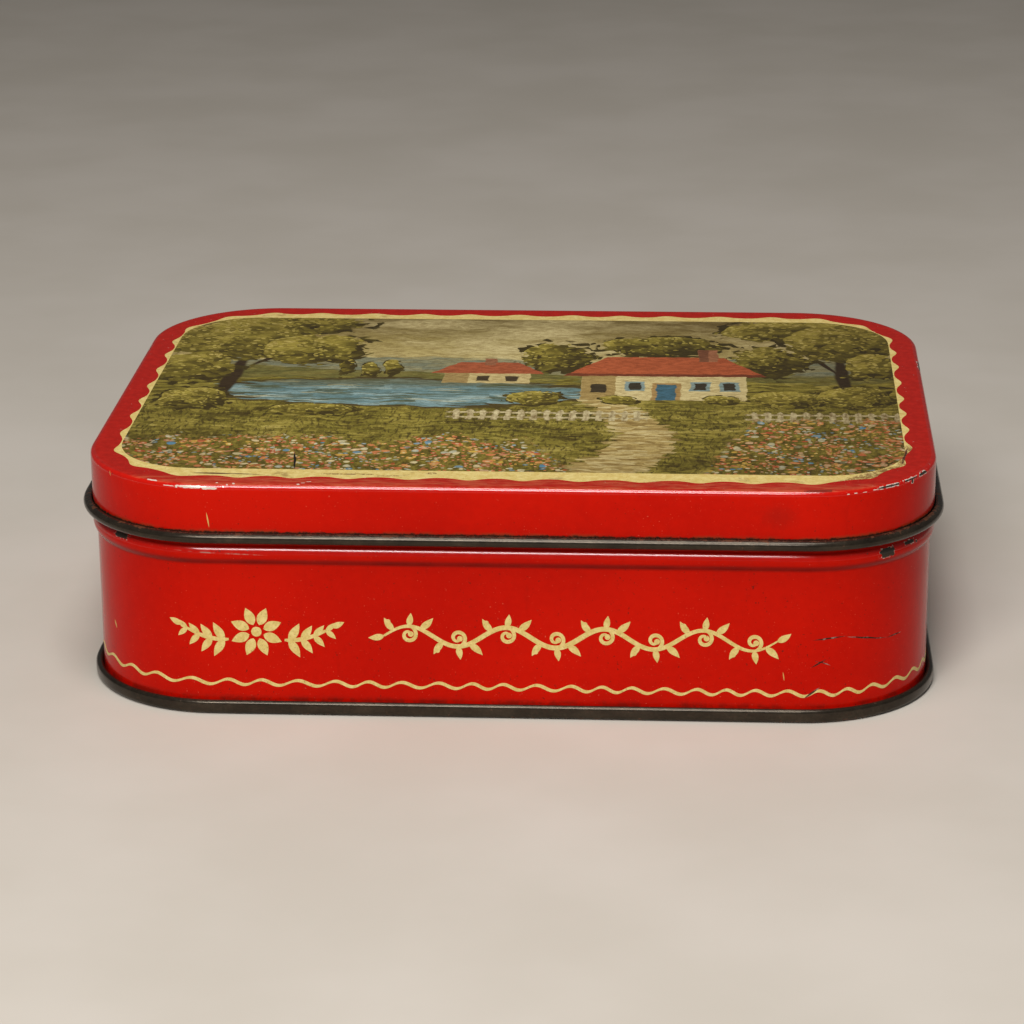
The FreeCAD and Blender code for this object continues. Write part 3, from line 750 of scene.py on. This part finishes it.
def body_enamel(name, gloss):
    g = Graph(name)
    mottle, ragged = enamel(g), ragged_edge(g)
    front, facing = g.join(g.x, g.z), g.ramp(g.y, -40, -45)
    # Dirt above the seam, painted shade in the crease under the stop bead, scuffs on the neck under the
    # lid, chips beside the stop bead
    low = g.ramp(g.z + ragged * 0.3, 3.9, 2.7) * g.ramp(g.noise(4.0, detail=5.0, rough=0.7), 0.4, 0.62)
    g.paint(low * 0.6, (84, 22, 14))
    # Painted shade: a darker red band in the crease under the stop bead
    under = g.ramp(abs(g.z - (BEAD_Z - 1.4)), 1.0, 0.2) * (g.noise(7.0, detail=4.0) * 0.6 + 0.3)
    g.paint(under, (104, 10, 4))
    rub = g.noise(0.6, g.stretch(1, 1, 0.07), 3.0, 0.7)
    neck = g.ramp(g.z, BEAD_Z + 2.4, BEAD_Z + 4.0) * g.ramp(rub + (g.noise(12.0) - 0.5) * 0.3, 0.6, 0.68)
    ridge = g.ramp(abs(g.z - (BEAD_Z + 0.9)), 0.4, 0.1) * g.ramp(g.noise(2.4, detail=4.0), 0.64, 0.68)
    chips = [((72.6, -57.3, 32.8), (1.7, 1.2, 0.82), 39), ((78.2, -51.0, 32.9), (0.3, 1.0, 0.16), 55),
             ((76.9, -52.8, 33.3), (1.5, 1.0, 0.3), 52), ((-74.4, -55.9, 33.7), (2.0, 1.0, 0.55), -42)]
    bare = g.most(neck, ridge * 0.5, g.blots(chips, ragged * 0.6))
    rim = g.blots(chips, ragged * 0.6, 0.13)
    # Dark cuts that wander a little, pale nicks, and a worn line on the bead
    wander = g.vector("ADD", front, g.vector("SCALE", g.noise(6.0, vector=True), Scale=0.9))
    wander = g.vector("SUBTRACT", wander, (0.45, 0.45, 0.45))
    lines = [((58.2, 16.4), (65.6, 17.1), 0.19), ((64.6, 17.0), (73.6, 15.0), 0.19),
             ((72.8, 14.9), (76.0, 15.2), 0.17), ((58.3, 10.8), (61.5, 12.5), 0.19),
             ((59.0, 12.3), (62.4, 11.1), 0.12), (*LOW_CUT, 0.2)]
    cuts = g.scratches(wander, lines) * facing
    nicks = [((53.2, 10.1), (53.5, 8.1), 0.13), ((-76.9, 14.9), (-76.4, 13.1), 0.2)]
    g.paint(g.scratches(front, nicks) * facing * 0.7, CREAM_DEEP)
    worn = g.scratch(front, (-64.0, 33.1), (-44.0, 32.4), 0.16) * facing
    worn = worn * g.ramp(g.noise(1.6, detail=3.0), 0.4, 0.58)
    g.paint(worn * 0.8, (168, 132, 118))
    g.paint(rim * g.ramp(g.noise(0.6), 0.46, 0.6), PRIMER)
    g.paint(g.ramp(bare, 0.1, 0.5), STEEL)
    g.paint(cuts, g.shades(g.noise(1.0), (0.5, (50, 34, 28)), (0.68, (156, 138, 124))))
    return enamel_finish(g, bare, mottle, gloss)


def cream_ink(name, stains):
    """Cream printing ink with worn specks, and brown stains where asked for."""
    g = Graph(name)
    mottle = g.noise(1.3, detail=4.0, rough=0.7)
    g.colour = g.blend(g.ramp(mottle, 0.32, 0.72), CREAM_DEEP, CREAM)
    g.paint(g.ramp(g.noise(0.4), 0.58, 0.74) * 0.6, (160, 126, 68))
    if stains:
        ragged = ragged_edge(g)
        brown = g.ramp(g.noise(5.0, detail=4.0, rough=0.7), 0.58, 0.74) * 0.5
        marks = [((69.0, -53.5, 46.4), (8.0, 2.2, 3), 42), ((76.6, -40.5, 46.4), (1.4, 6.5, 3), -9),
                 ((73.0, -49.0, 46.4), (3.8, 1.3, 3), 39), ((67.9, -53.8, 46.4), (0.5, 0.9, 3), 0),
                 ((-30.0, -55.6, 46.4), (5.0, 0.4, 3), 0), ((-14.0, -54.6, 46.4), (1.0, 0.6, 3), 0),
                 ((-22.0, -56.4, 46.4), (2.6, 0.3, 3), 4)]
        fine = g.ramp(g.noise(0.9, detail=3.0, rough=0.7), 0.36, 0.56)
        g.paint(g.most(brown, g.blots(marks, ragged) * fine * 0.85), (116, 74, 38))
        scores = [((-60.6, -55.9), (-50.8, -56.15), 0.5), ((-54.5, -55.95), (-45.6, -56.5), 0.3),
                  ((75.4, -46.2), (77.1, -34.6), 0.4), ((77.4, -30.2), (79.6, -29.8), 0.4)]
        g.paint(g.scratches(g.p, scores) * g.ramp(ragged, -0.6, -0.1), (80, 44, 32))
    else:
        cut = g.scratch(g.join(g.x, g.z), *LOW_CUT, 0.24)
        g.paint(cut * g.ramp(g.y, -40, -45), (70, 48, 36))
    g.bump(mottle, 0.15, 0.05)
    return g.finish(specular_ior_level=0.2, roughness=mottle * 0.2 + 0.28)


def worn_edge_metal():
    """The curl and the double seam: darkened tinplate with rust in its creases."""
    g = Graph("dark_worn_tinplate")
    cloud = g.noise(6.0, detail=4.0, rough=0.65)
    fine = g.noise(0.5, detail=3.0, rough=0.7)
    g.colour = g.shades(cloud * 0.6 + fine * 0.4, (0.3, (39, 34, 28)), (0.5, (57, 50, 41)),
                        (0.72, (78, 69, 57)))
    crease = g.most(g.ramp(abs(g.z - (CURL_MID[1] + 1.1)), 0.4, 0.1), g.ramp(g.z, 0.8, 0.1))
    rust = g.ramp(g.noise(1.3, detail=4.0, rough=0.7) + crease * 0.16 + (cloud - 0.5) * 0.3, 0.66, 0.8)
    g.paint(rust * 0.8, (96, 54, 30))
    g.bump(fine + cloud, 0.25, 0.06)
    return g.finish(metallic=0.62 - rust * 0.45, specular_ior_level=0.3,
                    roughness=fine * 0.18 + 0.14 + rust * 0.3)


def bare_tinplate(name, bright, dull):
    """Unprinted tinplate: fine rolling lines, cloudy tarnish and a little rust."""
    g = Graph(name)
    lines = g.noise(0.7, g.stretch(0.05, 1), 3.0, 0.6)
    cloud = g.noise(19.0, detail=4.0, rough=0.6)
    g.colour = g.blend(g.ramp(cloud * 0.7 + lines * 0.3, 0.36, 0.66), dull, bright)
    spots = g.ramp(g.noise(3.2, detail=4.0, rough=0.7) + (cloud - 0.5) * 0.4, 0.68, 0.76)
    g.paint(spots * 0.8, RUST)
    g.bump(lines, 0.25, 0.04)
    return g.finish(metallic=0.95 - spots * 0.7, specular_ior_level=0.5,
                    roughness=lines * 0.15 + 0.3 + spots * 0.3)


# The picture on the lid: a cottage garden by a lake, in aged olive colours

LEAF_DARK, LEAF = (74, 62, 24), (130, 116, 42)
LEAF_LIGHT, LEAF_SUN = (186, 168, 74), (222, 202, 114)
# Each mass of leaves: middle across, middle up, half width, half height
FAR_TREES = [(6, 25, 8, 12), (51, 23, 9, 12), (28, 34, 14, 8),
             (-38, 17, 2.0, 8), (-33, 15, 1.8, 6), (-28.5, 16, 1.8, 7)]
NEAR_TREES = [(-63, 36, 18, 17), (-46, 30, 12, 12), (-71, 15, 10, 12), (-54, 49, 18, 10),
              (67, 38, 13, 17), (54, 47, 14, 9), (73, 20, 7, 11)]
BUSHES = [(3, -4, 6, 5), (55, -4, 8, 6), (-42, -14, 9, 4), (68, -2, 8, 8),
          (-67, -8, 8, 8), (20, -5, 4, 3), (41, -5, 5, 3)]
# Each block: left, right, bottom, top, how far each side leans in per unit of height, colour
BLOCKS = [
    (-17, 1, 6, 13, 0, (214, 192, 132)), (-17, -12, 6, 13, 0, (176, 148, 92)),
    (-20, 4, 13, 21, 0.75, (178, 94, 58)), (-9, -6.6, 19, 24, 0, (160, 104, 72)),
    *((left, left + 2.5, 7.5, 11, 0, (76, 62, 40)) for left in (-10, -4)),
    (12, 46, -5, 12, 0, (228, 208, 148)), (12, 19, -5, 12, 0, (180, 152, 92)),
    (8, 50, 12, 26, 0.62, (192, 98, 58)), (8, 50, 12, 13.6, 0.62, (128, 66, 40)),
    (36, 40, 23, 32, 0, (176, 116, 80)), (36, 38, 23, 32, 0, (136, 86, 58)),
    (26.5, 32.5, -5, 7, 0, (186, 150, 92)), (27.5, 31.5, -5, 6, 0, (74, 112, 128)),
    *((left, left + 4, 1.5, 8, 0, (150, 170, 164)) for left in (21, 34.5, 40.5)),
    *((left, left + 2.4, 2.3, 7.2, 0, (66, 58, 42)) for left in (21.8, 35.3, 41.3)),
    (14, 17, 0, 6, 0, (70, 58, 38)),
]
TRUNKS = [((-63, -18), (-60, 30), 2.2), ((-60, 14), (-48, 34), 1.0),
          ((67, -8), (65, 32), 1.8), ((66, 12), (56, 36), 0.8)]
FENCE_LOW, FENCE_HIGH, FENCE_STEP = -19.0, -12.0, 2.6


def sky_and_hills(g, warped):
    """Sky with clouds and two ranges of hills, in broad flat strokes."""
    cx, cy, a, b, _, _ = g.dabs(warped, 4.5, 1.2)
    swell = g.noise(30.0, g.stretch(1, 2.2, where=warped), 4.0, 0.55)
    g.colour = g.shades(g.ramp(cy, 14, 58), (0.0, (210, 190, 126)), (0.5, (178, 158, 94)),
                        (1.0, (134, 114, 62)))
    g.paint(g.ramp(swell + a * 0.06, 0.44, 0.72), (222, 204, 146))
    ridge = g.noise(34.0, g.join(cx, 3.0)) * 26 + 10
    g.paint(g.ramp(cy - ridge, 1.0, -0.5), g.blend(b, (132, 136, 112), (160, 152, 110)))
    ridge = g.noise(22.0, g.join(cx, 40.0), 3.0) * 18 + 5
    g.paint(g.ramp(cy - ridge, 0.8, -0.4), g.blend(b, (108, 104, 52), (142, 130, 66)))


def meadow(g, warped):
    """Grass in short strokes, with upright blades towards the front."""
    mx, my, a, b, _, _ = g.dabs(warped, 2.8, 0.9)
    patch = g.noise(18.0, g.join(mx, my * 1.8), 3.0, 0.6) * 0.78 + a * 0.26
    grass = g.shades(patch, (0.3, (80, 66, 24)), (0.48, (128, 116, 42)), (0.64, (166, 150, 64)),
                     (0.78, (200, 182, 96)))
    blades = g.noise(0.7, g.stretch(1, 0.24, where=warped), 3.0, 0.7)
    near = g.ramp(my, 0, -16)
    grass = g.blend(g.ramp(blades, 0.5, 0.36) * near * 0.8, grass, (70, 58, 22))
    grass = g.blend(g.ramp(blades, 0.58, 0.7) * near * 0.7, grass, (190, 172, 84))
    g.paint(g.ramp(my + (b - 0.5) * 3.0, 9.0, 7.0), grass)


def lake(g, warped):
    wx, wy, a, b, _, _ = g.dabs(warped, 7.0, 0.7)
    shore = g.vector("LENGTH", g.framed(g.join(wx, wy), (-24, -1, 0), (38, 9.5, 1)))
    water = g.shades(g.noise(16.0, g.join(wx, wy * 3.0)) * 0.6 + a * 0.4, (0.28, (96, 98, 60)),
                     (0.48, (112, 144, 146)), (0.64, (152, 178, 176)), (0.78, (226, 212, 158)))
    water = g.blend(g.ramp(wy + a * 4.0, 3.0, 8.0) * 0.7, water, (104, 98, 52))
    g.paint(g.ramp(shore + (b - 0.5) * 0.14, 1.14, 1.06), (86, 72, 34))
    g.paint(g.ramp(shore + (b - 0.5) * 0.12, 1.02, 0.98), water)


def garden_path(g, warped):
    px, py, a, _, _, _ = g.dabs(warped, 2.6, 0.9)
    bend = g.math("SINE", (py + 53.0) * 0.07) * 9.0 + 17.0
    half = py * -0.085 + 3.4
    share = g.ramp(abs(px - bend) - half, 0.4, -0.4) * g.ramp(py, -4.0, -6.0)
    gravel = g.shades(a, (0.1, (168, 140, 80)), (0.5, (204, 178, 110)), (0.9, (226, 206, 146)))
    g.paint(share, gravel)


def buildings(g):
    """Cottages in flat colours, with a slightly unsteady edge."""
    x, y, _ = g.split(g.vector("ADD", g.p, g.vector("SCALE", g.noise(2.5, vector=True), Scale=1.3)))
    for left, right, low, high, lean, shown in BLOCKS:
        side = abs(x - ((left + right) / 2 + 0.65)) + (y - (low + 0.65)) * lean - (right - left) / 2
        rise = abs(y - ((low + high) / 2 + 0.65)) - (high - low) / 2
        g.paint(g.ramp(g.most(side, rise), 0.2, -0.1), shown)


def fence(g):
    """A paling fence across the garden, open at the path."""
    x, y, _ = g.split(g.vector("ADD", g.p, g.vector("SCALE", g.noise(4.0, vector=True), Scale=1.2)))
    post = abs(g.math("FRACT", x * (1 / FENCE_STEP)) - 0.5) * FENCE_STEP
    tip = (y - (FENCE_HIGH - 0.8)) * 0.7
    pale = g.ramp(g.most(post - 0.62, post - 0.62 + tip, FENCE_LOW - y), 0.12, -0.08)
    rails = g.math("MINIMUM", abs(y - (FENCE_LOW + 1.8)), abs(y - (FENCE_HIGH - 2.0)))
    pale = g.most(pale, g.ramp(rails, 0.62, 0.42))
    gate = g.most(g.ramp(abs(x - 36.5), 9.5, 10.0), g.ramp(y, 0, 1)) * g.ramp(x, -14.0, -13.0)
    shade = g.noise(0.8, g.stretch(1, 0.3))
    g.paint(pale * gate, g.shades(shade, (0.3, (150, 128, 84)), (0.6, (222, 206, 158))))


def leaf_masses(g, warped, spots):
    """How far inside its nearest mass of leaves a point is, and its light from the upper left."""
    found, lit = [], []
    for x, y, wide, tall in spots:
        near = g.framed(warped, (x, y, 0), (wide, tall, 1))
        inside = 1.0 - g.vector("LENGTH", g.stretch(1, 1, 0, near))
        u, v, _ = g.split(near)
        found.append(inside)
        lit.append(v * 0.3 - u * 0.2 - g.ramp(inside, 0.05, -0.1) * 9.0)
    return g.most(*found), g.most(*lit, -0.45)


def greenery(g, warped, spots, size, light):
    """Leaf masses in dabs, dark first, then lighter flecks on the lit side."""
    found, lit = leaf_masses(g, warped, spots)
    _, _, a, b, _, _ = g.dabs(warped, size, size * 0.85)
    cluster = g.noise(6.0, warped)
    edge = found + (cluster - 0.5) * 0.6
    glow = lit + cluster * 0.8 + light
    leaves = g.shades(glow + (b - 0.5) * 0.4, (0.1, LEAF_DARK), (0.45, LEAF), (0.8, LEAF_LIGHT))
    g.paint(g.ramp(edge + (a - 0.5) * 0.36, -0.02, 0.02), leaves)
    _, _, a, b, c, far = g.dabs(warped, size * 0.55, size * 0.42)
    fleck = g.ramp(far, 0.46, 0.38) * g.ramp(b + glow * 0.7, 0.9, 0.96)
    fleck = fleck * g.ramp(edge + (a - 0.5) * 0.4, 0.0, 0.06)
    g.paint(fleck, g.shades(c * 0.5 + glow * 0.6, (0.2, LEAF), (0.5, LEAF_LIGHT), (0.8, LEAF_SUN)))


def blossom(g, warped, bed, size, sparse):
    """Round flower heads in drifts of one colour, some with a lighter heart."""
    fx, fy, a, b, c, far = g.dabs(warped, size, size * 0.9)
    spot = g.join(fx, fy)
    kind = g.noise(8.0, spot, 1.0) * 0.8 + a * 0.22
    bloom = g.shades(kind, (0.34, (104, 154, 182)), (0.44, (238, 224, 172)),
                     (0.5, (206, 96, 58)), (0.58, (234, 156, 98)), (0.68, (228, 188, 84)))
    drift = g.ramp(g.noise(6.5, spot, 1.0) + (c - 0.5) * 0.7, sparse, sparse + 0.05)
    head = g.ramp(far, 0.4, 0.3) * bed * drift
    g.paint(head, bloom)
    g.paint(g.ramp(far, 0.2, 0.1) * head * g.ramp(b, 0.4, 0.6) * 0.7, (246, 230, 180))


def flower_beds(g, warped):
    """Flower beds along the front: leaves and stalks, then blossom in three sizes."""
    x, y, _ = g.split(warped)
    edge = g.noise(11.0, g.join(x, 9.0)) * 26 - 46 + (g.noise(1.6, warped, 3.0) - 0.5) * 8.0
    left = g.ramp(x + y * 0.5, -12.0, -16.0)
    right = g.ramp(x - y * 0.25, 50.0, 53.0)
    bed = g.most(g.ramp(y - edge, 1.0, -1.0) * left, g.ramp(y - edge, 14.0, 12.0) * right)
    stalks = g.noise(0.9, g.stretch(1, 0.4, where=warped), 4.0, 0.7)
    clump = g.noise(5.0, warped, 3.0)
    leaves = g.shades(stalks * 0.8 + clump * 0.4 - 0.1, (0.34, LEAF_DARK), (0.5, LEAF), (0.7, LEAF_LIGHT))
    g.paint(bed * 0.9, leaves)
    for size, sparse, shift in ((1.0, 0.54, 0.0), (1.5, 0.56, 31.0), (2.3, 0.61, 67.0)):
        blossom(g, g.vector("ADD", warped, (shift, 17.0, 0.0)), bed, size, sparse)


def picture_print():
    g = Graph("lid_picture_print")
    wander = g.vector("SUBTRACT", g.noise(9.0, vector=True), (0.5, 0.5, 0.5))
    wander = g.vector("SCALE", wander, Scale=4.5)
    warped = g.vector("ADD", g.p, wander)
    straight = g.vector("ADD", g.p, g.vector("SCALE", wander, Scale=0.25))
    sky_and_hills(g, warped)
    meadow(g, warped)
    lake(g, warped)
    greenery(g, warped, FAR_TREES, 1.8, -0.12)
    garden_path(g, warped)
    buildings(g)
    for start, end, half in TRUNKS:
        g.paint(g.scratch(straight, start, end, half), (66, 50, 28))
    greenery(g, warped, NEAR_TREES, 2.2, 0.06)
    greenery(g, warped, BUSHES, 1.5, 0.02)
    fence(g)
    flower_beds(g, warped)
    # Dark corners, brush grain and the fine dots of the print
    corner = g.vector("LENGTH", g.framed(g.p, (-14, 0, 0), (96, 72, 50)))
    g.paint(g.ramp(corner, 0.9, 1.4) * 0.5, (120, 98, 60), "MULTIPLY")
    brush = g.noise(0.55, g.stretch(0.22, 1, where=warped), 3.0, 0.7)
    g.paint(g.ramp(brush, 0.6, 0.4) * 0.5, (160, 140, 98), "MULTIPLY")
    grain = g.noise(0.24, detail=1.0)
    g.paint(g.ramp(grain, 0.54, 0.7) * 0.3, (140, 122, 84), "MULTIPLY")
    scar = g.scratch(straight, (-40.4, -53.4), (-41.9, -41.4), 0.3)
    g.paint(scar, (24, 20, 16))
    g.bump(brush, 0.2, 0.05)
    return g.finish(specular_ior_level=0.16, roughness=brush * 0.15 + 0.24)


# The stage

FLOOR_HALF = 4.0
FLOOR_TONE = ((196, 187, 174), (203, 194, 182))
WORLD_TONE, WORLD_STRENGTH = (1.0, 0.985, 0.965, 1.0), 0.09
# Each lamp: place, the point it faces, width and depth, all in millimetres, and power in watts
LAMPS = {
    "overhead": ((20, -300, 870), (0, 0, 40), (340, 300), 3.8),
    "front": ((-130, -750, 690), (0, -20, 30), (430, 310), 7.2),
}
CAMERA_PLACE = (40.2273, -659.4756, 246.0493)
CAMERA_RIGHT = (0.99805749, 0.06186516, -0.0073452)
CAMERA_UP = (-0.01307098, 0.32321703, 0.94623459)
CAMERA_BACK = (0.06091305, -0.94430051, 0.32339781)
CAMERA_LENS, CAMERA_SENSOR = 117.96, 36.0


def make_floor():
    g = Graph("pale_floor")
    g.colour = g.blend(g.ramp(g.noise(60.0, detail=4.0), 0.3, 0.7), *FLOOR_TONE)
    material = g.finish(roughness=0.75, specular_ior_level=0.2)
    mesh = bpy.data.meshes.new("floor")
    h = FLOOR_HALF
    mesh.from_pydata([(-h, -h, 0), (h, -h, 0), (h, h, 0), (-h, h, 0)], [], [(0, 1, 2, 3)])
    mesh.materials.append(material)
    floor = bpy.data.objects.new("floor", mesh)
    bpy.context.scene.collection.objects.link(floor)


def stand(thing, place, axes):
    """Puts a lamp or the camera in the scene at a place in millimetres, turned to its own axes."""
    turn = np.stack(axes, 1).tolist()
    thing.matrix_world = Matrix.Translation(np.array(place) * MM) @ Matrix(turn).to_4x4()
    bpy.context.scene.collection.objects.link(thing)


def make_lights():
    for name, (place, target, size, power) in LAMPS.items():
        lamp = bpy.data.lights.new(name, "AREA")
        lamp.shape = "RECTANGLE"
        lamp.size, lamp.size_y = size[0] * MM, size[1] * MM
        lamp.energy = power
        back = (np.array(place, float) - target) / np.linalg.norm(np.subtract(place, target))
        right = np.cross((0, 0, 1), back)
        right = right / np.linalg.norm(right)
        stand(bpy.data.objects.new(name, lamp), place, (right, np.cross(back, right), back))
    world = bpy.data.worlds.new("studio")
    world.use_nodes = True
    background = world.node_tree.nodes["Background"]
    background.inputs["Color"].default_value = WORLD_TONE
    background.inputs["Strength"].default_value = WORLD_STRENGTH
    bpy.context.scene.world = world


def make_camera():
    data = bpy.data.cameras.new("camera")
    data.lens, data.sensor_width = CAMERA_LENS, CAMERA_SENSOR
    camera = bpy.data.objects.new("camera", data)
    stand(camera, CAMERA_PLACE, (CAMERA_RIGHT, CAMERA_UP, CAMERA_BACK))
    bpy.context.scene.camera = camera


def make_tin():
    edge = worn_edge_metal()
    lid_inside = bare_tinplate("lid_inside_tinplate", (196, 188, 172), (150, 140, 120))
    body_inside = bare_tinplate("body_inside_tinplate", (190, 182, 166), (140, 130, 112))
    underside = bare_tinplate("underside_tinplate", (150, 142, 128), (96, 86, 74))
    cream = cream_ink("cream_line_ink", False)
    lid_red = lid_enamel("lid_red_enamel", FLAT_GLOSS)
    lid_ridge = lid_enamel("lid_rubbed_enamel", RUBBED_GLOSS)
    body_red = body_enamel("body_red_enamel", FLAT_GLOSS)
    body_ridge = body_enamel("body_rubbed_enamel", RUBBED_GLOSS)
    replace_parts(make_lid([lid_red, edge, lid_inside, lid_ridge]), "lid")
    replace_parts(make_wall([body_red, edge, body_inside, body_ridge]), "body_wall")
    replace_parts(make_base([body_inside, edge, underside]), "base")
    make_border(cream_ink("cream_border_ink", True))
    make_picture(picture_print())
    make_wave_line(cream)
    make_ornament(cream)


bpy.context.scene.view_settings.view_transform = "Standard"
make_floor()
make_lights()
make_camera()
make_tin()
